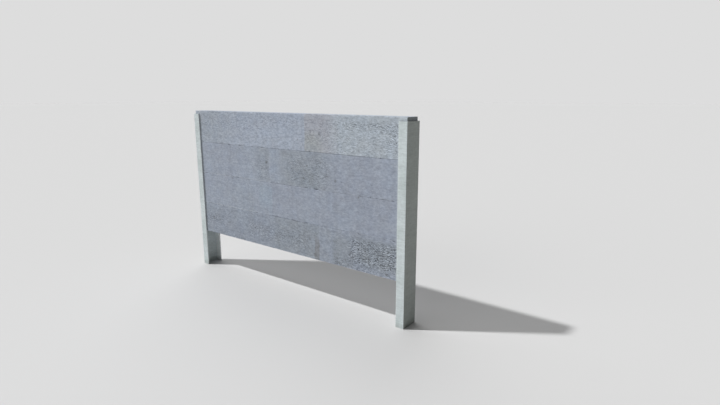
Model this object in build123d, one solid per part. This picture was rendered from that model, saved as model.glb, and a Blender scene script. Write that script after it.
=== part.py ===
"""One bay of a post-and-plank concrete barrier wall.

Two galvanised steel channels stand with their open sides facing each other. Four precast concrete
planks are lowered into the channels from above and rest on seat plates welded inside them, so the
wall stops short of the ground and stands a little above the post tops.

Frame: the origin is on the ground at the centre of the footprint, +X runs along the wall, -Y is the
front face and +Z is up. Every length is in millimetres.
"""

from build123d import *
import math
import os

# --- the bay ---------------------------------------------------------------------------------
bay_length = 2400.0  # over the outer faces of the two post webs
post_height = 1500.0
ground_gap = 353.0  # ground to the underside of the bottom plank
course_height = 294.0  # one bed joint to the next
course_names = ("bottom", "lower_middle", "upper_middle", "top")

# --- rolled channel posts ----------------------------------------------------------------------
channel_depth = 160.0  # front flange face to back flange face
flange_width = 70.0
web_thickness = 5.5
flange_thickness = 9.5
root_radius = 12.0  # between web and flange, inside

# --- edge seals stuck to the flanges, and the room for a plank to slide between them ------------
seal_thickness = 2.8
seal_clearance = 0.2  # seal face to plank face
seal_setback = 6.0  # flange toe to the seal's edge
root_clearance = 1.0  # between anything square and the root fillet

# --- precast planks ----------------------------------------------------------------------------
end_gap = 3.0  # plank end to the web
arris = 2.5  # chamfer on the long edges of the faces
tongue_height = 18.0
tongue_root = 50.0
tongue_crest = 40.0
tongue_side_gap = 2.0  # each flank of the tongue to the groove
tongue_top_gap = 3.0  # tongue crest to groove crown

# --- seats at the foot of the wall ---------------------------------------------------------------
seat_reach = 50.0  # out from the web
seat_thickness = 10.0
seat_side_gap = 0.5  # seat plate to each flange, filled by the weld
pad_thickness = 5.0
pad_margin = 5.0  # pad edge inside the seat edge
notch_gap = 2.5  # seat and pad to the concrete beside them

# --- reinforcement -----------------------------------------------------------------------------
bond_gap = 0.1  # cast-in steel to the concrete around it
bar_diameter = 10.0
link_diameter = 6.0
link_spacing = 275.0
side_cover = 30.0
top_cover = 30.0
crown_cover = 24.0  # groove crown to the link above it
end_cover = 30.0
link_bend_radius = 12.0  # inside the bend
bar_link_gap = 3.0

# --- cast-in lifting sockets -------------------------------------------------------------------
socket_spacing = 1430.0  # between the two in one plank
socket_diameter = 22.0
socket_length = 80.0
socket_bore = 14.0  # tapping bore for M16
socket_bore_depth = 45.0
anchor_diameter = 12.0
anchor_length = 200.0
anchor_height = 15.0  # socket's foot to the anchor bar's axis
anchor_gap = 0.5  # anchor bar to its cross hole

# --- strips in the bed joints --------------------------------------------------------------------
strip_width = 34.0
strip_thickness = 2.5

# --- sizes that follow ---------------------------------------------------------------------------
slot_width = channel_depth - 2 * flange_thickness
plank_thickness = slot_width - 2 * (seal_thickness + seal_clearance)
plank_length = bay_length - 2 * (web_thickness + end_gap)
groove_depth = tongue_height + tongue_top_gap
web_face = bay_length / 2 - web_thickness  # inner face of a post's web, from the centre
seat_top = ground_gap + seat_thickness
pad_top = seat_top + pad_thickness


def course_base(course):
    """Height of a course's bed joint above the ground."""
    return ground_gap + course * course_height


def cast_in_rod(diameter, room):
    """Radius of a cast-in bar, or of the hole that it fills when room is the bond gap."""
    return diameter / 2 + room


# --- posts, seats and seals, all made for the left end and mirrored -------------------------------
def mirrored(left_shape):
    return mirror(left_shape, about=Plane.YZ)


def make_left_post():
    outline = Pos(-bay_length / 2, 0) * Rectangle(
        flange_width, channel_depth, align=(Align.MIN, Align.CENTER)
    )
    slot = Pos(-web_face, 0) * Rectangle(
        flange_width, slot_width, align=(Align.MIN, Align.CENTER)
    )
    section = outline - slot
    roots = [v for v in section.vertices() if abs(v.X + web_face) < 1e-6]
    return extrude(fillet(roots, root_radius), post_height)


def make_left_seat():
    """A plate between the flanges, with its two corners at the web cut back from the root fillets."""
    plate = Rectangle(
        seat_reach, slot_width - 2 * seat_side_gap, align=(Align.MIN, Align.CENTER)
    )
    web_corners = [v for v in plate.vertices() if abs(v.X) < 1e-6]
    plate = chamfer(web_corners, root_radius + root_clearance)
    return extrude(Pos(-web_face, 0, ground_gap) * plate, seat_thickness)


def make_left_pad():
    pad = Rectangle(
        seat_reach - 2 * pad_margin,
        slot_width - 2 * (root_radius + pad_margin),
        align=(Align.MIN, Align.CENTER),
    )
    return extrude(Pos(-web_face + pad_margin, 0, seat_top) * pad, pad_thickness)


def make_left_seals():
    """One strip on each flange, from the seat plate up to the top of the post."""
    start = web_face - root_radius - root_clearance
    toe = bay_length / 2 - flange_width
    strip = Box(
        start - toe - seal_setback,
        seal_thickness,
        post_height - seat_top,
        align=(Align.MIN, Align.MIN, Align.MIN),
    )
    front = Pos(-start, -slot_width / 2, seat_top) * strip
    return Compound([front, mirror(front, about=Plane.XZ)])


# --- planks --------------------------------------------------------------------------------------
def plank_section(has_groove, has_tongue):
    """Cross-section in Y and Z, with its bed joint at Z = 0."""
    side = plank_thickness / 2
    groove_mouth = tongue_root / 2 + tongue_side_gap
    groove_crown = tongue_crest / 2 + tongue_side_gap
    crest_height = course_height + tongue_height
    right = [(side - arris, 0), (side, arris), (side, course_height - arris)]
    right += [(side - arris, course_height)]
    if has_groove:
        right = [(groove_crown, groove_depth), (groove_mouth, 0)] + right
    if has_tongue:
        right += [(tongue_root / 2, course_height), (tongue_crest / 2, crest_height)]
    left = [(-y, z) for y, z in reversed(right)]
    return make_face(Plane.YZ * Polyline(*right, *left, close=True))


def end_chamfer():
    """Chamfer on the upright end edges: the arris, or more where the root fillet needs it."""
    along = root_radius - end_gap
    across = root_radius - (slot_width - plank_thickness) / 2
    clear_radius = root_radius - root_clearance
    room = math.sqrt(max(clear_radius**2 - across**2, 0))
    return max(arris, along - room)


def make_plank(course):
    last = len(course_names) - 1
    section = plank_section(has_groove=course > 0, has_tongue=course < last)
    plan = Rectangle(plank_length, plank_thickness)
    plan = chamfer(plan.vertices(), end_chamfer())
    block = extrude(section, plank_length / 2, both=True)
    block = block & extrude(plan, course_height + tongue_height)
    if course == 0:
        block -= seat_notches()
    for steel in reinforcement(bond_gap):
        block -= steel
    for socket in socket_holes(course):
        block -= socket
    return Pos(0, 0, course_base(course)) * block


def seat_notches():
    """The rebates at both ends of the bottom plank that take the seat plates and their pads."""
    inner = web_face - seat_reach - notch_gap
    notch = Box(
        plank_length / 2 - inner + end_gap,
        plank_thickness,
        2 * (pad_top - ground_gap),
        align=(Align.MIN, Align.CENTER, Align.CENTER),
    )
    right = Pos(inner, 0, 0) * notch
    return right + mirrored(right)


# --- reinforcement, placed from the plank's bed joint ----------------------------------------------
link_foot = groove_depth + crown_cover
link_head = course_height - top_cover
link_width = plank_thickness - 2 * side_cover
bar_inset = link_diameter + bar_link_gap + bar_diameter / 2


def link_places():
    """X of each link: one at the centre and the rest spaced out to both ends."""
    reach = plank_length / 2 - end_cover - link_diameter / 2
    per_side = math.floor(reach / link_spacing)
    return [i * link_spacing for i in range(-per_side, per_side + 1)]


def make_bars(room=0.0):
    """The four straight bars, one in each corner of the links."""
    length = plank_length - 2 * end_cover + 2 * room
    rod = Rot(0, 90, 0) * Cylinder(cast_in_rod(bar_diameter, room), length)
    places = [
        (side * (link_width / 2 - bar_inset), height)
        for side in (-1, 1)
        for height in (link_foot + bar_inset, link_head - bar_inset)
    ]
    return [Pos(0, y, z) * rod for y, z in places]


def make_links(room=0.0):
    """Closed rectangular links with bent corners, each swept once round its centre line."""
    loop = RectangleRounded(
        link_width - link_diameter,
        link_head - link_foot - link_diameter,
        link_bend_radius + link_diameter / 2,
    )
    middle = Plane((0, 0, (link_foot + link_head) / 2), x_dir=(0, 1, 0), z_dir=(1, 0, 0))
    path = (middle * loop).wire()
    start = Plane(path @ 0, z_dir=path % 0)
    link = sweep(start * Circle(cast_in_rod(link_diameter, room)), path=path)
    return [Pos(x, 0, 0) * link for x in link_places()]


def reinforcement(room):
    return make_bars(room) + make_links(room)


# --- lifting sockets ---------------------------------------------------------------------------
def socket_mouth(course):
    """Height above the bed joint of the surface that a socket is flush with."""
    last = len(course_names) - 1
    return course_height + (tongue_height if course < last else 0)


def both_sockets(shape):
    return [Pos(side * socket_spacing / 2, 0, 0) * shape for side in (-1, 1)]


def anchor_rod(radius, length):
    return Rot(0, 90, 0) * Cylinder(radius, length)


def make_sockets(course):
    """Steel tubes threaded at the top and cross-drilled at the foot for the anchor bar."""
    mouth = socket_mouth(course)
    down = (Align.CENTER, Align.CENTER, Align.MAX)
    tube = Cylinder(socket_diameter / 2, socket_length, align=down)
    tube -= Cylinder(socket_bore / 2, socket_bore_depth, align=down)
    cross_hole = anchor_rod(anchor_diameter / 2 + anchor_gap, 2 * socket_diameter)
    tube -= Pos(0, 0, anchor_height - socket_length) * cross_hole
    return both_sockets(Pos(0, 0, mouth) * tube)


def make_anchors(course):
    height = socket_mouth(course) - socket_length + anchor_height
    bar = anchor_rod(anchor_diameter / 2, anchor_length)
    return both_sockets(Pos(0, 0, height) * bar)


def socket_holes(course):
    """What the concrete leaves out for the sockets and their anchor bars."""
    mouth = socket_mouth(course)
    down = (Align.CENTER, Align.CENTER, Align.MAX)
    hole = Cylinder(socket_diameter / 2 + bond_gap, socket_length + bond_gap, align=down)
    rod = anchor_rod(anchor_diameter / 2 + bond_gap, anchor_length + 2 * bond_gap)
    hole += Pos(0, 0, anchor_height - socket_length) * rod
    return both_sockets(Pos(0, 0, mouth) * hole)


def make_joint_strip(course):
    """The rubber strip on a plank's tongue, which closes the bed joint above it."""
    crest = course_base(course) + course_height + tongue_height
    strip = Box(
        plank_length,
        strip_width,
        strip_thickness,
        align=(Align.CENTER, Align.CENTER, Align.MIN),
    )
    return Pos(0, 0, crest) * strip


# --- the bay's nodes -----------------------------------------------------------------------------
def post_nodes():
    left = {
        "post": make_left_post(),
        "seat_plate": make_left_seat(),
        "bearing_pad": make_left_pad(),
        "edge_seals": make_left_seals(),
    }
    nodes = {f"left_{name}": shape for name, shape in left.items()}
    nodes |= {f"right_{name}": mirrored(shape) for name, shape in left.items()}
    return nodes


def plank_nodes(course):
    name = course_names[course]
    base = Pos(0, 0, course_base(course))
    cast_in = {
        "main_bars": make_bars(),
        "links": make_links(),
        "lifting_sockets": make_sockets(course),
        "anchor_bars": make_anchors(course),
    }
    nodes = {f"{name}_plank": make_plank(course)}
    for piece, solids in cast_in.items():
        nodes[f"{name}_{piece}"] = Compound([base * solid for solid in solids])
    if course < len(course_names) - 1:
        nodes[f"{name}_joint_strip"] = make_joint_strip(course)
    return nodes


def main():
    os.makedirs("parts", exist_ok=True)
    nodes = post_nodes()
    for course in range(len(course_names)):
        nodes |= plank_nodes(course)
    for name, shape in nodes.items():
        export_step(shape, f"parts/{name}.step")


main()
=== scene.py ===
import math
import random

import bmesh
import bpy
from mathutils import Euler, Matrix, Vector


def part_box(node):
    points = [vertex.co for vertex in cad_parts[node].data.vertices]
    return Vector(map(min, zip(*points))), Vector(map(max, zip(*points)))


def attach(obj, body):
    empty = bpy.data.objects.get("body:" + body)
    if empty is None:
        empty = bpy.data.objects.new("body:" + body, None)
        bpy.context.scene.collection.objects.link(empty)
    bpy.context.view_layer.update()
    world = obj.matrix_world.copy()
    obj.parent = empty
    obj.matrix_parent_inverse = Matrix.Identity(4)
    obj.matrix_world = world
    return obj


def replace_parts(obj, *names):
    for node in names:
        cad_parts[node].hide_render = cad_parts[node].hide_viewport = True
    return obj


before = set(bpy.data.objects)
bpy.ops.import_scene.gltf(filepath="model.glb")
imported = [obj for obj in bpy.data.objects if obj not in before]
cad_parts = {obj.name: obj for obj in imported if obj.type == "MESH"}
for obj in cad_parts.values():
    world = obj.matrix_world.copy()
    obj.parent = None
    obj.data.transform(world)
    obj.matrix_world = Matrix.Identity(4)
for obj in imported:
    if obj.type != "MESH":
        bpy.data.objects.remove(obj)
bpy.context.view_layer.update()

# --- sizes read off the frame, in metres ----------------------------------------------------------
COURSES = ("bottom", "lower_middle", "upper_middle", "top")
SIDES = {"left": -1, "right": 1}

plank_low, plank_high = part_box("bottom_plank")
next_low, next_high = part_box("lower_middle_plank")
course_height = next_low.z - plank_low.z
tongue_height = plank_high.z - next_low.z
half_length = plank_high.x
half_thickness = plank_high.y
post_low, post_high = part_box("left_post")
outer_x = -post_low.x  # outer face of a web, from the middle of the bay
toe_x = -post_high.x  # toes of the flanges
seat_low, seat_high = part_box("left_seat_plate")
pad_low, pad_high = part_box("left_bearing_pad")
slot_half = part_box("left_edge_seals")[1].y  # middle of the slot to a flange's inner face
web_face = -seat_low.x  # inner face of a web

# --- sizes of the detail ----------------------------------------------------------------------------
ARRIS = 0.0025  # chamfer up both ends of a plank
WORN_ARRIS = 0.0014  # and along its faces
TONGUE_ROOT = 0.050
TONGUE_CREST = 0.040
TONGUE_SIDE_GAP = 0.002
TONGUE_TOP_GAP = 0.003
SOCKET_RADIUS = 0.0111
NOTCH_GAP = 0.0025
FACE_MESH = 0.0058  # spacing of the points that a plank's relief is made from
BUG_HOLES = ((0.0022, 26), (0.0017, 34), (0.0012, 40))  # radius and number of the air holes
ROOT_RADIUS = 0.012  # fillet between a web and a flange
HEEL_RADIUS = 0.0016
TOE_RADIUS = 0.0014
POST_MESH = 0.012
SEAL_THICKNESS = 0.0028
RIB_DEPTH = 0.0011
PAD_BULGE = 0.0008
WELD_RADIUS = 0.004


# --- modelling by hand, in edit mode ------------------------------------------------------------------
def add_block(name, low, high):
    """A plain block between two corners, which every piece here is shaped from."""
    bpy.ops.object.select_all(action="DESELECT")
    low, high = Vector(low), Vector(high)
    bpy.ops.mesh.primitive_cube_add(size=1, location=(low + high) / 2, scale=high - low)
    piece = bpy.context.object
    piece.name = name
    piece.data.name = name
    bpy.ops.object.transform_apply(location=True, rotation=True, scale=True)
    bpy.ops.object.mode_set(mode="EDIT")
    return piece


def choose(piece, kind, wanted):
    """Selects only those verts, edges or faces for which wanted() is true."""
    bpy.ops.mesh.select_mode(type={"verts": "VERT", "edges": "EDGE", "faces": "FACE"}[kind])
    bpy.ops.mesh.select_all(action="DESELECT")
    mesh = bmesh.from_edit_mesh(piece.data)
    for part in getattr(mesh, kind):
        if wanted(part):
            part.select_set(True)
    mesh.select_flush_mode()
    bmesh.update_edit_mesh(piece.data)


def middle(edge):
    """The middle point of an edge."""
    return (edge.verts[0].co + edge.verts[1].co) / 2


def runs_along(edge, axis, longer_than=0.0):
    """Whether an edge runs along an axis, and is longer than a length."""
    along = edge.verts[1].co - edge.verts[0].co
    return abs(along[axis]) > max(0.99 * along.length, longer_than)


def cut(axis, places):
    """Cuts the whole piece across at each place along an axis."""
    normal = [0, 0, 0]
    normal[axis] = 1
    for place in places:
        point = [0, 0, 0]
        point[axis] = place
        bpy.ops.mesh.select_all(action="SELECT")
        bpy.ops.mesh.bisect(plane_co=point, plane_no=normal)


def split_lengthwise(piece, axis, cuts, rounds):
    """Divides the long edges along an axis evenly, several times over."""
    longest = max(e.calc_length() for e in bmesh.from_edit_mesh(piece.data).edges)
    for _ in range(rounds):
        choose(piece, "edges", lambda e: runs_along(e, axis, 0.4 * longest))
        bpy.ops.mesh.subdivide(number_cuts=cuts)
        longest /= cuts + 1


def leave_edit():
    """Turns every face outwards and goes back to object mode."""
    bpy.ops.mesh.select_all(action="SELECT")
    bpy.ops.mesh.normals_make_consistent(inside=False)
    bpy.ops.object.mode_set(mode="OBJECT")


def evenly(low, high, step):
    """Places strictly between two ends, no further apart than a step."""
    count = math.ceil((high - low) / step)
    return [low + (high - low) * i / count for i in range(1, count)]


def apply(piece, modifier):
    """Applies a modifier to a piece."""
    bpy.context.view_layer.objects.active = piece
    bpy.ops.object.modifier_apply(modifier=modifier.name)


def wear_down(piece, name, kind, size, depth, group="", **settings):
    """Sinks the surface by up to a depth, where a procedural texture is bright."""
    texture = bpy.data.textures.new(name, kind)
    texture.noise_scale = size
    stops = settings.pop("stops", None)
    for setting, value in settings.items():
        setattr(texture, setting, value)
    if stops:
        texture.use_color_ramp = True
        ramp = texture.color_ramp
        for element, (place, grey) in zip(ramp.elements, stops):
            element.position = place
            element.color = (grey, grey, grey, 1)
    modifier = piece.modifiers.new(name, "DISPLACE")
    modifier.texture = texture
    modifier.texture_coords = "GLOBAL"
    modifier.direction = "NORMAL"
    modifier.mid_level = 0
    modifier.strength = -depth
    modifier.vertex_group = group
    apply(piece, modifier)


def carve(piece, tool):
    """Takes one piece out of another."""
    modifier = piece.modifiers.new("carve", "BOOLEAN")
    modifier.operation = "DIFFERENCE"
    modifier.solver = "MANIFOLD"
    modifier.object = tool
    apply(piece, modifier)
    bpy.data.objects.remove(tool)


def shade(piece, degrees=40):
    """Shades smooth, with a sharp line at every edge that turns by more than an angle."""
    bpy.ops.object.select_all(action="DESELECT")
    piece.select_set(True)
    bpy.context.view_layer.objects.active = piece
    bpy.ops.object.shade_smooth_by_angle(angle=math.radians(degrees))


# --- material maths ---------------------------------------------------------------------------------
class Channel:
    """A value or a colour inside a finish, so that maths on it reads as maths."""

    def __init__(self, finish, socket):
        self.finish = finish
        self.socket = socket

    def maths(self, operation, first, second):
        """One Math node, for the operators below."""
        return self.finish.node("ShaderNodeMath", {"operation": operation}, {0: first, 1: second})

    def __add__(self, other):
        return self.maths("ADD", self, other)

    def __sub__(self, other):
        return self.maths("SUBTRACT", self, other)

    def __rsub__(self, other):
        return self.maths("SUBTRACT", other, self)

    def __mul__(self, other):
        return self.maths("MULTIPLY", self, other)

    def __pow__(self, other):
        return self.maths("POWER", self, other)

    __radd__ = __add__
    __rmul__ = __mul__


class Shader:
    """The nodes of a material or of the studio wall."""

    def __init__(self, owner):
        owner.use_nodes = True
        self.tree = owner.node_tree

    def node(self, kind, settings=None, sockets=None, output=0):
        """Adds a node, with its settings first and then its sockets, and gives one of its outputs."""
        node = self.tree.nodes.new(kind)
        for name, value in (settings or {}).items():
            setattr(node, name, value)
        for name, value in (sockets or {}).items():
            self.feed(node.inputs[name], value)
        return Channel(self, node.outputs[output])

    def feed(self, socket, value):
        """Links a channel to a socket, or sets the socket's own value."""
        if isinstance(value, Channel):
            self.tree.links.new(value.socket, socket)
        elif socket.type == "RGBA" and len(value) == 3:
            socket.default_value = (*value, 1)
        else:
            socket.default_value = value


class Finish(Shader):
    """A procedural material, with the nodes that its pieces' surfaces need."""

    def __init__(self, name):
        self.material = bpy.data.materials.new(name)
        super().__init__(self.material)
        self.surface = self.tree.nodes["Principled BSDF"]
        self.place = self.node("ShaderNodeTexCoord", output="Object")
        self.x, self.y, self.z = (
            self.node("ShaderNodeSeparateXYZ", sockets={0: self.place}, output=axis) for axis in "XYZ"
        )

    def set(self, **sockets):
        """Sets or links the surface's own sockets, named with _ for each space."""
        for name, value in sockets.items():
            self.feed(self.surface.inputs[name.replace("_", " ")], value)

    def mix(self, factor, low, high, blend="MIX"):
        """Two colours mixed, or blended in another way."""
        settings = {"data_type": "RGBA", "blend_type": blend, "clamp_factor": True}
        return self.node("ShaderNodeMix", settings, {0: factor, 6: low, 7: high}, output=2)

    def ramp(self, value, low, high, to_low=0.0, to_high=1.0):
        """A value eased from one level to another between two limits."""
        sockets = {"Value": value, "From Min": low, "From Max": high}
        sockets.update({"To Min": to_low, "To Max": to_high})
        return self.node("ShaderNodeMapRange", {"interpolation_type": "SMOOTHSTEP"}, sockets)

    def band(self, value, low, high, soft_low, soft_high):
        """1 between two limits, eased down to 0 across each of them."""
        rise = self.ramp(value, low - soft_low, low + soft_low)
        return rise * self.ramp(value, high + soft_high, high - soft_high)

    def away(self, value, near, far):
        """Eased from 0 to 1 between two distances from the middle of the bay, alike on both sides."""
        return self.ramp(value * value, near * near, far * far)

    def grey(self, value):
        """A value as a colour."""
        return self.node("ShaderNodeCombineColor", None, {0: value, 1: value, 2: value})

    def stretched(self, x, y, z):
        """Object coordinates, scaled along each axis."""
        sockets = {0: self.place, 1: (x, y, z)}
        return self.node("ShaderNodeVectorMath", {"operation": "MULTIPLY"}, sockets)

    def noise(self, scale, detail=4.0, rough=0.55, place=None):
        """Cloudy noise, on object coordinates or on others."""
        sockets = {"Vector": place or self.place, "Scale": scale, "Detail": detail, "Roughness": rough}
        return self.node("ShaderNodeTexNoise", None, sockets, output="Fac")

    def cells(self, scale, output="Distance"):
        """Scattered cells: how far their middles are, or a colour for each."""
        return self.node("ShaderNodeTexVoronoi", None, {"Vector": self.place, "Scale": scale}, output)

    def bump(self, height, distance, strength=1.0):
        """A normal for relief that is too fine to model."""
        sockets = {"Height": height, "Distance": distance, "Strength": strength}
        return self.node("ShaderNodeBump", None, sockets, output="Normal")


# --- concrete ---------------------------------------------------------------------------------------
BLUE_GREY = (0.325, 0.36, 0.42)
LILAC_GREY = (0.305, 0.334, 0.392)
GREEN_GREY = (0.285, 0.313, 0.347)
PALE_GREY = (0.385, 0.425, 0.455)
SKY_GREY = (0.315, 0.362, 0.425)
PINK_GREY = (0.335, 0.345, 0.38)
OLIVE_GREY = (0.315, 0.335, 0.345)
BROWN_GREY = (0.235, 0.245, 0.265)
DARK_GREY = (0.22, 0.25, 0.275)
# Painted shade for the plank ends.
PAINTED_END_SHADE = (0.20, 0.216, 0.212)
# Painted light beside the flanges, against their cast shadow.
PAINTED_FLANGE_LIGHT = (0.50, 0.54, 0.56)
STAIN_GREY = (0.16, 0.168, 0.175)
SAND_GREY = (0.40, 0.42, 0.45)
DIRT = (0.10, 0.11, 0.12)
# Painted light that pales the shaded joint groove.
PAINTED_GROOVE_LIGHT = (0.62, 0.66, 0.70)

# How grainy and how light each plank's faces are.
GRAIN = {"top": 0.95, "upper_middle": 0.5, "lower_middle": 0.42, "bottom": 0.8}
LEVEL = {"top": 1.045, "upper_middle": 0.965, "lower_middle": 0.945, "bottom": 0.917}

# Tones left by the form panels and the pours, in metres: from x, to x, from z and to z above the
# plank's foot, how soft the left, right, lower and upper edges are, the tone, and its strength.
TONES = {
    "top": [
        (-1.20, 0.237, 0.0, 0.30, (0.3, 0.004, 0.01, 0.01), BLUE_GREY, 0.6),
        (-1.20, -0.72, 0.0, 0.30, (0.1, 0.25, 0.02, 0.02), GREEN_GREY, 0.6),
        (0.237, 0.557, 0.0, 0.30, (0.003, 0.10, 0.01, 0.01), PINK_GREY, 0.9),
        (0.237, 0.42, 0.0, 0.15, (0.003, 0.08, 0.01, 0.05), OLIVE_GREY, 0.8),
        (0.53, 1.20, 0.0, 0.30, (0.12, 0.02, 0.01, 0.01), PALE_GREY, 0.68),
        (0.70, 1.20, 0.20, 0.245, (0.2, 0.02, 0.03, 0.03), GREEN_GREY, 0.2),
    ],
    "upper_middle": [
        (-0.343, -0.183, 0.0, 0.30, (0.08, 0.01, 0.01, 0.02), GREEN_GREY, 0.65),
        (-0.168, -0.053, 0.0, 0.30, (0.003, 0.03, 0.01, 0.02), SKY_GREY, 0.35),
        (-0.053, 0.477, 0.0, 0.30, (0.05, 0.12, 0.01, 0.03), GREEN_GREY, 0.75),
        (0.10, 0.36, 0.02, 0.14, (0.1, 0.08, 0.04, 0.08), DARK_GREY, 0.35),
    ],
    "lower_middle": [
        (-0.323, -0.163, 0.05, 0.26, (0.006, 0.01, 0.08, 0.03), SKY_GREY, 0.95),
        (-0.70, -0.40, 0.0, 0.20, (0.2, 0.06, 0.02, 0.05), GREEN_GREY, 0.3),
        (0.30, 0.55, 0.0, 0.16, (0.1, 0.1, 0.02, 0.08), LILAC_GREY, 0.8),
    ],
    "bottom": [
        (-1.20, -0.20, 0.0, 0.30, (0.02, 0.2, 0.01, 0.01), DARK_GREY, 0.22),
        (-0.163, 0.377, 0.0, 0.30, (0.1, 0.004, 0.02, 0.02), GREEN_GREY, 0.85),
        (0.327, 0.377, 0.0, 0.18, (0.004, 0.004, 0.01, 0.05), BROWN_GREY, 0.9),
        (0.377, 0.517, 0.0, 0.28, (0.003, 0.03, 0.02, 0.03), GREEN_GREY, 0.35),
        (0.517, 0.70, 0.0, 0.25, (0.02, 0.08, 0.02, 0.05), GREEN_GREY, 0.8),
        (0.72, 1.20, 0.045, 0.27, (0.12, 0.05, 0.05, 0.03), GREEN_GREY, 0.9),
    ],
}

# Dirt, and painted light over the groove's shade, along each plank's foot: from x, to x, tone and
# strength.
JOINT_LINES = {
    "top": [(0.20, 1.30, DIRT, 0.5), (-1.30, -0.40, PAINTED_GROOVE_LIGHT, 0.20)],
    "upper_middle": [(-1.30, -0.25, PAINTED_GROOVE_LIGHT, 0.45), (-0.10, 1.30, PAINTED_GROOVE_LIGHT, 0.15)],
    "lower_middle": [(-1.30, -0.35, PAINTED_GROOVE_LIGHT, 0.60), (0.70, 1.30, PAINTED_GROOVE_LIGHT, 0.30)],
    "bottom": [],
}

# Single stains on the front faces: x, z above the plank's foot, and radius.
STAINS = {
    "top": [(0.393, 0.145, 0.014), (0.16, 0.09, 0.008)],
    "upper_middle": [
        (-0.219, 0.169, 0.014),
        (0.257, 0.179, 0.012),
        (0.217, 0.079, 0.010),
        (0.553, 0.089, 0.014),
    ],
    "lower_middle": [(-0.683, 0.279, 0.010), (0.777, 0.283, 0.010)],
    "bottom": [
        (0.273, 0.161, 0.012),
        (0.327, 0.037, 0.018),
        (1.037, 0.027, 0.014),
        (-1.003, 0.147, 0.012),
    ],
}

# Where the face came out rough and pitted: from x, to x, from z, to z, soft edge and strength.
ROUGH = {
    "top": [
        (-1.20, -0.25, 0.10, 0.29, 0.08, 0.35),
        (-0.30, 0.20, 0.17, 0.29, 0.06, 0.45),
        (0.60, 1.25, 0.155, 0.265, 0.045, 0.7),
        (0.98, 1.25, 0.0, 0.255, 0.08, 0.7),
        (0.44, 1.25, -0.05, 0.30, 0.08, 0.32),
        (0.20, 0.62, 0.02, 0.30, 0.08, 0.3),
    ],
    "upper_middle": [
        (0.0, 0.55, -0.03, 0.30, 0.10, 0.45),
        (-0.36, -0.17, -0.02, 0.24, 0.05, 0.4),
        (0.55, 1.20, 0.0, 0.14, 0.1, 0.25),
    ],
    "lower_middle": [(0.75, 1.20, 0.14, 0.29, 0.12, 0.25)],
    "bottom": [
        (0.66, 1.25, 0.02, 0.275, 0.06, 1.0),
        (-1.12, -0.82, 0.08, 0.22, 0.05, 0.6),
        (-0.55, 0.32, 0.0, 0.26, 0.12, 0.5),
        (0.50, 1.25, -0.05, 0.10, 0.05, 0.5),
    ],
}


def smooth(value, low, high):
    """Eased from 0 to 1 between two limits."""
    t = min(max((value - low) / (high - low), 0.0), 1.0)
    return t * t * (3 - 2 * t)


def roughness_at(course, x, z):
    """How rough a plank's face is at a place, from 0 to 1."""
    most = 0.0
    for from_x, to_x, from_z, to_z, soft, strength in ROUGH[course]:
        share = smooth(x, from_x, from_x + soft) * smooth(-x, -to_x, -to_x + soft)
        share *= smooth(z, from_z, from_z + soft) * smooth(-z, -to_z, -to_z + soft)
        most = max(most, share * strength)
    return most


def mark_tones(concrete, course, foot, colour):
    """Lays the plank's tone patches and stains over a colour, with slightly wandering edges."""
    drift = (concrete.noise(9.0, 3.0) - 0.5) * 0.02
    across = concrete.x + drift
    above = concrete.z - foot + drift
    front = concrete.ramp(concrete.y, 0.01, -0.01)
    facing = front * 0.55 + 0.45
    for from_x, to_x, from_z, to_z, soft, tone, strength in TONES[course]:
        left, right, lower, upper = soft
        mask = concrete.band(across, from_x, to_x, left, right)
        mask = mask * concrete.band(above, from_z, to_z, lower, upper)
        colour = concrete.mix(mask * strength * facing, colour, tone)
    for x, z, radius in STAINS[course]:
        away = (concrete.x - x) ** 2.0 + (concrete.z - foot - z) ** 2.0
        mask = concrete.ramp(away, radius * radius * 1.6, 0.0) * front
        colour = concrete.mix(mask * 0.6, colour, STAIN_GREY)
    return colour


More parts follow.
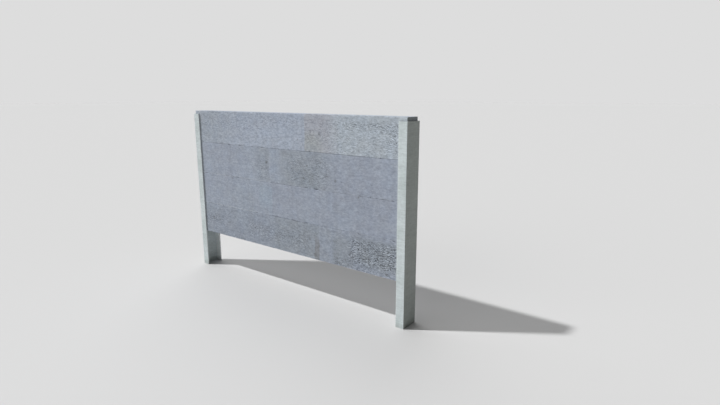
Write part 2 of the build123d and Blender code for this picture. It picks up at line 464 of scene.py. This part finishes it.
def concrete_finish(course):
    """Cast concrete: cloudy bluish grey, fine sand, pinholes, and the plank's own patches."""
    concrete = Finish(f"concrete_{course}")
    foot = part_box(f"{course}_plank")[0].z
    clouds = concrete.noise(1.7, 3.0, 0.5)
    mottle = concrete.noise(11.0, 5.0, 0.6)
    marks = concrete.noise(1.0, 4.0, 0.6, concrete.stretched(19.0, 19.0, 30.0))
    grain = concrete.noise(1.0, 4.0, 0.65, concrete.stretched(40.0, 40.0, 78.0))
    sand = concrete.noise(260.0, 3.0, 0.7)
    trowel = concrete.noise(1.0, 4.0, 0.6, concrete.stretched(5.0, 5.0, 70.0))
    drips = concrete.noise(1.0, 3.0, 0.5, concrete.stretched(26.0, 26.0, 1.6))
    pitting = concrete.node("ShaderNodeAttribute", {"attribute_name": "pitting"}, output="Fac")

    colour = concrete.mix(concrete.ramp(clouds, 0.36, 0.64), LILAC_GREY, BLUE_GREY)
    colour = mark_tones(concrete, course, foot, colour)
    colour = concrete.mix(concrete.ramp(mottle, 0.3, 0.7) * 0.5, colour, SAND_GREY, "OVERLAY")
    value = (mottle - 0.5) * 0.28 + (marks - 0.5) * 0.34 + (sand - 0.5) * 0.35
    value = value + (grain - 0.5) * (0.45 + 0.85 * GRAIN[course])
    value = value + (trowel - 0.5) * 0.20 + (drips - 0.5) * 0.14

    # Sparse pinholes everywhere, and crossed ripples of pits and grains where it is rough.
    pins = concrete.cells(95.0)
    sparse = concrete.ramp(concrete.noise(34.0, 2.0), 0.54, 0.62)
    pinholes = concrete.ramp(pins, 0.22, 0.10) * sparse
    ripples = concrete.node(
        "ShaderNodeTexWave",
        {"bands_direction": "Z"},
        {
            "Vector": concrete.place,
            "Scale": 23.0,
            "Distortion": 13.0,
            "Detail": 1.0,
            "Detail Scale": 1.1,
        },
        output="Fac",
    )
    pits = concrete.noise(1.0, 3.0, 0.6, concrete.stretched(84.0, 84.0, 125.0))
    grit = ripples * 0.25 + pits * 0.75
    # Painted shade darkens the pinholes and pits, and painted glints lighten the grains; the bump uses the
    # same masks.
    hollows = concrete.ramp(grit, 0.50, 0.33) * pitting
    glints_and_grains = concrete.ramp(grit, 0.50, 0.67) * pitting
    value = value + LEVEL[course] - pinholes * 0.45 - hollows * 0.58 + glints_and_grains * 0.38
    colour = concrete.mix(1.0, colour, concrete.grey(value), "MULTIPLY")

    # Painted light lifts the faces beside the flanges out of the flanges' shadow, painted shade darkens
    # the ends, and dirt and painted light over the groove's shade follow the bed joint.
    in_flange_shadow = concrete.away(concrete.x, toe_x - 0.030, toe_x - 0.002)
    skin = concrete.away(concrete.y, half_thickness - 0.014, half_thickness - 0.003)
    light_patches = concrete.ramp(marks, 0.30, 0.62, 0.55, 1.0)
    colour = concrete.mix(in_flange_shadow * skin * light_patches * 0.3, colour, PAINTED_FLANGE_LIGHT)
    # Painted shade darkens both end faces.
    end = concrete.away(concrete.x, half_length - 0.0015, half_length - 0.0005)
    colour = concrete.mix(end * 0.85, colour, PAINTED_END_SHADE)
    # Dark dirt and painted light over the groove's shade along the bed joint.
    near_joint = concrete.ramp(concrete.z - foot, 0.0055, 0.0020)
    patchy = concrete.ramp(marks, 0.30, 0.50, 0.4, 1.0)
    for from_x, to_x, tone, strength in JOINT_LINES[course]:
        along = concrete.band(concrete.x, from_x, to_x, 0.1, 0.1)
        colour = concrete.mix(near_joint * along * patchy * strength, colour, tone)

    relief = sand * 0.25 + mottle * 0.4 - pinholes * 0.9 - hollows * 1.2 + glints_and_grains * 0.4
    concrete.set(
        Base_Color=colour,
        Roughness=concrete.ramp(mottle, 0.3, 0.75, 0.78, 0.92),
        Normal=concrete.bump(relief, 0.0016, 0.8),
        Specular_IOR_Level=0.3,
    )
    return concrete.material


# --- steel and rubber -------------------------------------------------------------------------------
# Painted shade for the webs' outer faces.
SHADED_ZINC = (0.305, 0.33, 0.308)
# Painted light for the back flanges' inner faces.
PAINTED_INSIDE_LIGHT = (0.78, 0.81, 0.81)
# Painted light for the flange toes.
PAINTED_TOE_LIGHT = (0.74, 0.77, 0.77)


def zinc_finish():
    """Weathered galvanising: pale green-grey, faint spangle, hairlines across, dirt near the foot."""
    zinc = Finish("weathered_zinc")
    patina = zinc.noise(7.0, 5.0, 0.6)
    hairlines = zinc.noise(1.0, 5.0, 0.7, zinc.stretched(16.0, 16.0, 110.0))
    bands = zinc.noise(1.0, 3.0, 0.5, zinc.stretched(3.0, 3.0, 60.0))
    spangle = zinc.cells(70.0, output="Color")
    spangle_grey = zinc.node("ShaderNodeSeparateColor", None, {0: spangle}, output=0)
    streaks = zinc.noise(1.0, 3.0, 0.5, zinc.stretched(60.0, 60.0, 3.0))
    foot_dirt = zinc.ramp(zinc.z + (patina - 0.5) * 0.06, 0.05, 0.0)

    # Painted shade on the webs' outer faces; painted light on the toes and the back flanges' inner faces.
    outside = zinc.away(zinc.x, outer_x - 0.0015, outer_x - 0.0002)
    colour = zinc.mix(zinc.ramp(patina, 0.35, 0.65), (0.48, 0.54, 0.54), (0.555, 0.61, 0.62))
    colour = zinc.mix(outside * 0.85, colour, SHADED_ZINC)
    # Painted light on the flange toes, which lie in shade.
    toe = zinc.away(zinc.x, toe_x + 0.0012, toe_x + 0.0005)
    colour = zinc.mix(toe * 0.9, colour, PAINTED_TOE_LIGHT)
    # Painted light on the back flanges' inner faces, which lie in the webs' shadow.
    inside = zinc.away(zinc.x, web_face - 0.001, web_face - 0.002)
    inside = inside * zinc.ramp(zinc.y, slot_half - 0.0015, slot_half - 0.0003)
    inside = inside * zinc.ramp(zinc.y, slot_half + 0.0013, slot_half + 0.0003)
    colour = zinc.mix(inside * 0.9, colour, PAINTED_INSIDE_LIGHT)
    value = (hairlines - 0.5) * 0.55 + (bands - 0.5) * 0.18 + (spangle_grey - 0.5) * 0.08
    value = value + (streaks - 0.5) * 0.14 + 1.0
    colour = zinc.mix(1.0, colour, zinc.grey(value), "MULTIPLY")
    colour = zinc.mix(foot_dirt * 0.3, colour, (0.24, 0.25, 0.22))
    zinc.set(
        Base_Color=colour,
        Roughness=zinc.ramp(patina, 0.3, 0.7, 0.52, 0.70),
        Metallic=0.15,
        Normal=zinc.bump(hairlines * 0.5 + patina * 0.5, 0.0006, 0.5),
    )
    return zinc.material


def bar_finish():
    """Hot-rolled bar: dark mill scale, light rust and rolled ribs."""
    bar = Finish("rusty_bar")
    rust = bar.noise(38.0, 5.0, 0.65)
    sockets = {"Vector": bar.place, "Scale": 42.0}
    ribs = bar.node("ShaderNodeTexWave", {"bands_direction": "DIAGONAL"}, sockets)
    colour = bar.mix(bar.ramp(rust, 0.42, 0.62), (0.075, 0.065, 0.06), (0.26, 0.115, 0.05))
    bar.set(
        Base_Color=colour,
        Roughness=bar.ramp(rust, 0.3, 0.7, 0.55, 0.9),
        Metallic=0.3,
        Normal=bar.bump(ribs * 0.7 + rust * 0.3, 0.0008),
    )
    return bar.material


def plated_finish():
    """Zinc-plated steel with fine turning marks and a little soiling."""
    plated = Finish("plated_steel")
    soil = plated.noise(90.0, 4.0, 0.6)
    turned = plated.noise(1.0, 2.0, 0.5, plated.stretched(40.0, 40.0, 900.0))
    colour = plated.mix(plated.ramp(soil, 0.45, 0.75), (0.56, 0.57, 0.58), (0.33, 0.32, 0.30))
    plated.set(
        Base_Color=colour,
        Roughness=plated.ramp(soil, 0.3, 0.7, 0.3, 0.55),
        Metallic=0.85,
        Normal=plated.bump(turned, 0.0003, 0.5),
    )
    return plated.material


def rubber_finish(name, tone, dust):
    """Dull rubber with a fine grain and dust in its hollows."""
    rubber = Finish(name)
    grain = rubber.noise(420.0, 3.0, 0.6)
    dusty = rubber.noise(23.0, 5.0, 0.65)
    colour = rubber.mix(rubber.ramp(dusty, 0.45, 0.75) * dust, tone, (0.26, 0.26, 0.25))
    rubber.set(
        Base_Color=colour,
        Roughness=rubber.ramp(dusty, 0.3, 0.7, 0.7, 0.9),
        Normal=rubber.bump(grain, 0.0004, 0.6),
    )
    return rubber.material


def dress(piece, material):
    """Gives a piece one material all over."""
    piece.data.materials.clear()
    piece.data.materials.append(material)


# --- planks -----------------------------------------------------------------------------------------
def add_tongue(piece, bed):
    """Raises the middle strip of the top face into a tongue with sloping sides."""
    root = TONGUE_ROOT / 2
    crest = (0, 0, bed + tongue_height)
    cut(1, (-root, root))
    choose(piece, "faces", lambda f: f.normal.z > 0.9 and abs(f.calc_center_median().y) < root)
    bpy.ops.mesh.extrude_region_move(TRANSFORM_OT_translate={"value": (0, 0, tongue_height)})
    bpy.ops.transform.resize(value=(1, TONGUE_CREST / TONGUE_ROOT, 1), center_override=crest)


def add_groove(piece, foot):
    """Cuts a groove along the underside that fits over the tongue below, out through both ends."""
    mouth = TONGUE_ROOT / 2 + TONGUE_SIDE_GAP
    crown = TONGUE_CREST / 2 + TONGUE_SIDE_GAP
    depth = tongue_height + TONGUE_TOP_GAP
    past = 0.010  # how far the cutter stands out of the plank
    wide = mouth + (mouth - crown) * past / depth
    top = foot + depth
    reach = half_length + past
    tool = add_block("groove_cutter", (-reach, -wide, foot - past), (reach, wide, top))
    choose(tool, "faces", lambda f: f.normal.z > 0.9)
    bpy.ops.transform.resize(value=(1, crown / wide, 1), center_override=(0, 0, top))
    bpy.ops.object.mode_set(mode="OBJECT")
    bpy.context.view_layer.objects.active = piece
    carve(piece, tool)
    bpy.ops.object.mode_set(mode="EDIT")


def bevel_arrises(piece, foot, bed):
    """Chamfers the long edges of both faces and the upright edges of both ends."""

    def on_face(at):
        return abs(abs(at.y) - half_thickness) < 1e-4

    def upright(edge):
        at = middle(edge)
        return on_face(at) and abs(abs(at.x) - half_length) < 1e-4 and runs_along(edge, 2)

    def long(edge):
        at = middle(edge)
        return on_face(at) and runs_along(edge, 0) and min(abs(at.z - foot), abs(at.z - bed)) < 1e-4

    choose(piece, "edges", upright)
    bpy.ops.mesh.bevel(offset=ARRIS, segments=2, affect="EDGES")
    choose(piece, "edges", long)
    bpy.ops.mesh.bevel(offset=WORN_ARRIS, segments=2, affect="EDGES")


def weigh(piece, name, weight):
    """Makes a vertex group with a weight for every point, from its place and normal."""
    group = piece.vertex_groups.new(name=name)
    weights = []
    for vertex in piece.data.vertices:
        share = weight(vertex.co, vertex.normal)
        weights.append(share)
        if share > 0.001:
            group.add([vertex.index], share, "REPLACE")
    return weights


def add_bug_holes(piece, foot, bed, spread):
    """Small bowl-shaped air holes at random points of both faces, clear of edges and each other."""
    taken = []

    def is_clear(co):
        inside = abs(co.x) < half_length - 0.02 and foot + 0.015 < co.z < bed - 0.015
        return inside and all((co - other).length > 0.020 for other in taken)

    for radius, count in BUG_HOLES:
        bpy.ops.object.mode_set(mode="OBJECT")
        vertices = piece.data.vertices
        chosen = set()
        for index in spread.sample(range(len(vertices)), count * 8):
            vertex = vertices[index]
            if len(chosen) < count and abs(vertex.normal.y) > 0.96 and is_clear(vertex.co):
                taken.append(vertex.co.copy())
                chosen.add(index)
        bpy.ops.object.mode_set(mode="EDIT")
        choose(piece, "verts", lambda v: v.index in chosen)
        bpy.ops.mesh.bevel(affect="VERTICES", offset=radius, segments=2)
        for narrower, deeper in ((0.22, 0.45), (0.30, 0.30)):
            bpy.ops.mesh.select_mode(type="FACE")
            bpy.ops.mesh.inset(thickness=radius * narrower, depth=-radius * deeper)
    bpy.ops.object.mode_set(mode="OBJECT")


def model_plank(course):
    """One precast plank, from a block: tongue, groove, arrises, wear, air holes and socket mouths."""
    node = f"{course}_plank"
    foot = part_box(node)[0].z
    bed = foot + course_height
    low, high = (-half_length, -half_thickness, foot), (half_length, half_thickness, bed)
    piece = add_block(f"{course}_plank_concrete", low, high)
    if course != "top":
        add_tongue(piece, bed)
    bevel_arrises(piece, foot, bed)
    if course != "bottom":
        leave_edit()
        add_groove(piece, foot)
    cut(2, evenly(foot + ARRIS, bed - ARRIS, FACE_MESH))
    cut(1, evenly(-half_thickness + ARRIS, half_thickness - ARRIS, 2.4 * FACE_MESH))
    split_lengthwise(piece, 0, 20, 2)
    leave_edit()
    add_socket_mouths(piece, course)
    if course == "bottom":
        cut_seat_notches(piece)
    wear_plank(piece, course, foot, bed)
    shade(piece, 35)
    dress(piece, concrete_finish(course))
    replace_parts(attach(piece, f"{course}_plank"), node)


def wear_plank(piece, course, foot, bed):
    """Relief of the cast faces: waviness, rough zones, craters, chipped arrises and air holes."""

    def face(co, normal):
        return 1.0 if abs(normal.y) > 0.9 else 0.0

    def rough(co, normal):
        x = co.x if normal.y < 0 else -co.x
        return roughness_at(course, x, co.z - foot) if face(co, normal) else 0.0

    def arris(co, normal):
        near = smooth(min(abs(co.z - foot), abs(co.z - bed)), 0.009, 0.001)
        return near * smooth(abs(co.y), half_thickness - 0.012, half_thickness - 0.002)

    hollow, spots, breaks = [(0.35, 0), (0.75, 1)], [(0.03, 1), (0.11, 0)], [(0.58, 0), (0.78, 1)]
    pitting = weigh(piece, "rough", rough)
    weigh(piece, "arris", arris)
    weigh(piece, "faces", face)
    wear_down(piece, "waviness", "CLOUDS", 0.11, 0.0007)
    wear_down(piece, "board_marks", "CLOUDS", 0.018, 0.0005, noise_depth=3)
    wear_down(piece, "rough_zone", "CLOUDS", 0.011, 0.0042, "rough", noise_depth=2, stops=hollow)
    wear_down(piece, "craters", "VORONOI", 0.060, 0.0022, "faces", stops=spots)
    wear_down(piece, "chips", "CLOUDS", 0.020, 0.0035, "arris", noise_depth=2, stops=breaks)
    attribute = piece.data.attributes.new("pitting", "FLOAT", "POINT")
    attribute.data.foreach_set("value", pitting)
    piece.vertex_groups.clear()
    add_bug_holes(piece, foot, bed, random.Random(course))


def add_socket_mouths(piece, course):
    """Round holes in the top of a plank where its lifting sockets show."""
    low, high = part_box(f"{course}_lifting_sockets")
    radius = (high.y - low.y) / 2
    for side in SIDES.values():
        bpy.ops.object.select_all(action="DESELECT")
        bpy.ops.mesh.primitive_cylinder_add(
            vertices=40,
            radius=SOCKET_RADIUS,
            depth=2 * (high.z - low.z),
            location=(side * (high.x - radius), 0, high.z),
        )
        tool = bpy.context.object
        bpy.ops.object.transform_apply(location=True, rotation=True, scale=True)
        carve(piece, tool)


def cut_seat_notches(piece):
    """Rebates at both ends of the bottom plank, over the seat plates and pads."""
    inner = -seat_high.x - NOTCH_GAP
    past = 0.02  # how far the cutter stands out of the plank
    for side in SIDES.values():
        ends = sorted((side * inner, side * (half_length + past)))
        low = (ends[0], -half_thickness - past, seat_low.z - past)
        high = (ends[1], half_thickness + past, pad_high.z)
        tool = add_block("notch_cutter", low, high)
        bpy.ops.object.mode_set(mode="OBJECT")
        carve(piece, tool)


# --- posts ------------------------------------------------------------------------------------------
def model_post(side):
    """A rolled channel from its web: flanges pulled out, root fillets, soft arrises and small dents."""
    sign = SIDES[side]
    xs = sorted((sign * outer_x, sign * web_face))
    piece = add_block(f"{side}_channel", (xs[0], post_low.y, 0), (xs[1], post_high.y, post_high.z))
    cut(1, (-slot_half, slot_half))

    def on_flange(face):
        return face.normal.x * sign < -0.9 and abs(face.calc_center_median().y) > slot_half

    def upright_at(edge, x, y):
        at = middle(edge)
        return runs_along(edge, 2) and max(abs(abs(at.x) - x), abs(abs(at.y) - y)) < 1e-5

    def at_toe(edge):
        return runs_along(edge, 2) and abs(middle(edge).x) < toe_x + 1e-5

    choose(piece, "faces", on_flange)
    reach = -sign * (web_face - toe_x)
    bpy.ops.mesh.extrude_region_move(TRANSFORM_OT_translate={"value": (reach, 0, 0)})
    choose(piece, "edges", lambda e: upright_at(e, web_face, slot_half))
    bpy.ops.mesh.bevel(offset=ROOT_RADIUS, segments=7, affect="EDGES")
    choose(piece, "edges", lambda e: upright_at(e, outer_x, post_high.y))
    bpy.ops.mesh.bevel(offset=HEEL_RADIUS, segments=3, affect="EDGES")
    choose(piece, "edges", at_toe)
    bpy.ops.mesh.bevel(offset=TOE_RADIUS, segments=3, affect="EDGES")
    cut(1, evenly(-slot_half + ROOT_RADIUS, slot_half - ROOT_RADIUS, POST_MESH))
    cut(0, [sign * x for x in evenly(toe_x + 0.004, web_face - ROOT_RADIUS, POST_MESH)])
    split_lengthwise(piece, 2, 12, 2)
    leave_edit()
    wear_down(piece, "rolling_waviness", "CLOUDS", 0.16, 0.0004)
    wear_down(piece, "dents", "VORONOI", 0.22, 0.0009, stops=[(0.02, 1), (0.10, 0)])
    shade(piece, 35)
    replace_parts(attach(piece, "posts"), f"{side}_post")
    return piece


# --- pads, seals and strips -------------------------------------------------------------------------
def ribbed_strip(name, low, high, along, across, up, grooves):
    """A rubber strip with long grooves in one face and rounded edges.

    The strip runs along one axis and the grooves lie side by side across another. The grooved face is
    given by its axis and which way it faces.
    """
    piece = add_block(name, low, high)
    width = high[across] - low[across]
    places = [low[across] + width * (i + 0.5) / grooves for i in range(grooves)]
    half = width / grooves * 0.22
    cut(across, [p + s * half for p in places for s in (-1, 1)])
    axis, facing = up

    def in_groove(face):
        at = face.calc_center_median()
        return face.normal[axis] * facing > 0.9 and any(abs(at[across] - p) < half for p in places)

    choose(piece, "faces", in_groove)
    shift = [0, 0, 0]
    shift[axis] = -facing * RIB_DEPTH
    bpy.ops.mesh.extrude_region_move(TRANSFORM_OT_translate={"value": shift})
    choose(piece, "edges", lambda e: runs_along(e, along, 0.5 * (high[along] - low[along])))
    bpy.ops.mesh.bevel(offset=0.15 * RIB_DEPTH, segments=2, affect="EDGES")
    leave_edit()
    shade(piece, 40)
    return piece


def model_seals(side, rubber):
    """Two ribbed strips, one stuck inside each flange, with the ribs towards the planks."""
    low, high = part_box(f"{side}_edge_seals")
    for place, face in (("front", -1), ("back", 1)):
        ys = sorted((face * slot_half, face * (slot_half - SEAL_THICKNESS)))
        corners = (low.x, ys[0], low.z), (high.x, ys[1], high.z)
        strip = ribbed_strip(f"{side}_seal_{place}", *corners, along=2, across=0, up=(1, -face), grooves=5)
        dress(strip, rubber)
        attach(strip, "posts")
        if place == "front":
            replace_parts(strip, f"{side}_edge_seals")


def model_pad(side, rubber):
    """A bearing pad, its edges rounded and its sides bulging a little under the load."""
    low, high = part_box(f"{side}_bearing_pad")
    inset = Vector((PAD_BULGE, PAD_BULGE, 0))
    piece = add_block(f"{side}_neoprene_pad", low + inset, high - inset)
    choose(piece, "edges", lambda e: runs_along(e, 2))
    bpy.ops.mesh.bevel(offset=0.004, segments=4, affect="EDGES")
    levels = evenly(low.z, high.z, 0.0009)
    cut(2, levels)
    centre = (low + high) / 2
    half = (high - low) / 2
    for z in levels:
        bulge = PAD_BULGE * (1 - ((z - centre.z) / half.z) ** 2)
        choose(piece, "verts", lambda v: abs(v.co.z - z) < 1e-5)
        wider = (1 + bulge / (half.x - PAD_BULGE), 1 + bulge / (half.y - PAD_BULGE), 1)
        bpy.ops.transform.resize(value=wider, center_override=centre)
    leave_edit()
    shade(piece, 40)
    dress(piece, rubber)
    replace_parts(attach(piece, "posts"), f"{side}_bearing_pad")


def model_joint_strip(course, rubber):
    """The sealing strip on a tongue, ribbed along its upper face."""
    node = f"{course}_joint_strip"
    low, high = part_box(node)
    piece = ribbed_strip(f"{course}_bed_seal", low, high, along=0, across=1, up=(2, 1), grooves=4)
    dress(piece, rubber)
    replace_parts(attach(piece, f"{course}_plank"), node)


def model_welds(side, steel):
    """Fillet beads that hold a seat plate to the web and the flanges, under the plate."""
    sign = SIDES[side]
    at_web = sign * web_face
    past_root = sign * (web_face - 0.015)
    runs = [(at_web, -0.056, at_web, 0.056)]
    for face in (-1, 1):
        runs.append((past_root, face * slot_half, -sign * seat_high.x, face * slot_half))
    beads = []
    for start_x, start_y, end_x, end_y in runs:
        start, end = Vector((start_x, start_y, seat_low.z)), Vector((end_x, end_y, seat_low.z))
        along = end - start
        bpy.ops.object.select_all(action="DESELECT")
        bpy.ops.mesh.primitive_cylinder_add(
            vertices=12,
            radius=WELD_RADIUS,
            depth=along.length,
            location=(start + end) / 2,
            rotation=along.to_track_quat("Z", "Y").to_euler(),
        )
        bead = bpy.context.object
        bpy.ops.object.transform_apply(location=True, rotation=True, scale=True)
        bpy.ops.object.mode_set(mode="EDIT")
        choose(bead, "edges", lambda e: e.calc_length() > 0.9 * along.length)
        bpy.ops.mesh.subdivide(number_cuts=24)
        leave_edit()
        wear_down(bead, "ripples", "CLOUDS", 0.005, 0.0016)
        beads.append(bead)
    bpy.ops.object.select_all(action="DESELECT")
    for bead in beads:
        bead.select_set(True)
    bpy.context.view_layer.objects.active = beads[0]
    bpy.ops.object.join()
    piece = bpy.context.object
    piece.name = f"{side}_seat_welds"
    shade(piece, 60)
    dress(piece, steel)
    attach(piece, "posts")


# --- the studio -------------------------------------------------------------------------------------
def add_floor():
    """A wide pale floor, evenly lit out to the horizon."""
    bpy.ops.object.select_all(action="DESELECT")
    bpy.ops.mesh.primitive_plane_add(size=240, location=(0, 0, -0.0005))
    floor = bpy.context.object
    floor.name = "studio_floor"
    paint = Finish("studio_floor_paint")
    paint.set(Base_Color=(0.534, 0.534, 0.534), Roughness=0.95, Specular_IOR_Level=0.0)
    dress(floor, paint.material)


def add_sun(name, strength, travel, spread):
    """A distant lamp, which lights the whole floor evenly. A wide spread makes it soft."""
    data = bpy.data.lights.new(name, "SUN")
    data.energy = strength
    data.angle = math.radians(spread)
    lamp = bpy.data.objects.new(name, data)
    lamp.rotation_euler = Vector(travel).to_track_quat("-Z", "Y").to_euler()
    lamp.location = -5 * Vector(travel)
    bpy.context.scene.collection.objects.link(lamp)


def add_light():
    """A high key light from the front left, two soft fills, and a pale studio wall all round."""
    add_sun("key", 3.1, (0.506, 0.338, -0.786), 2.5)
    add_sun("front_fill", 0.87, (0.24, 0.91, -0.34), 60.0)
    add_sun("back_fill", 1.53, (0.60, -0.35, -0.72), 60.0)

    world = bpy.data.worlds.new("studio_wall")
    wall = Shader(world)
    seen = wall.node("ShaderNodeBackground", None, {"Color": (0.723, 0.723, 0.723)})
    lighting = wall.node("ShaderNodeBackground", None, {"Color": (0.12, 0.12, 0.12)})
    looked_at = wall.node("ShaderNodeLightPath", output="Is Camera Ray")
    both = wall.node("ShaderNodeMixShader", None, {0: looked_at, 1: lighting, 2: seen})
    wall.feed(wall.tree.nodes["World Output"].inputs["Surface"], both)
    bpy.context.scene.world = world


def add_camera():
    """Eye height just over the wall, off its right end, looking down a little."""
    data = bpy.data.cameras.new("studio_camera")
    data.sensor_fit = "VERTICAL"
    data.angle = math.radians(45.0)
    data.clip_end = 500
    camera = bpy.data.objects.new("studio_camera", data)
    camera.location = (2.951, -2.882, 1.669)
    camera.rotation_euler = Euler((math.radians(90 - 12.34), 0, math.radians(37.49)))
    bpy.context.scene.collection.objects.link(camera)
    bpy.context.scene.camera = camera


# --- the whole bay ----------------------------------------------------------------------------------
add_camera()
add_light()
add_floor()
bpy.context.scene.view_settings.view_transform = "Standard"

zinc = zinc_finish()
bar_steel = bar_finish()
plated_steel = plated_finish()
seal_rubber = rubber_finish("seal_rubber", (0.045, 0.045, 0.047), 0.35)
pad_rubber = rubber_finish("pad_rubber", (0.022, 0.022, 0.024), 0.15)

for name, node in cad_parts.items():
    if name.endswith("_seat_plate"):
        dress(node, zinc)
    elif name.endswith(("_main_bars", "_links", "_anchor_bars")):
        dress(node, bar_steel)
    elif name.endswith("_lifting_sockets"):
        dress(node, plated_steel)

for course in COURSES:
    model_plank(course)
    if course != "top":
        model_joint_strip(course, seal_rubber)
for side in SIDES:
    dress(model_post(side), zinc)
    model_seals(side, seal_rubber)
    model_pad(side, pad_rubber)
    model_welds(side, zinc)
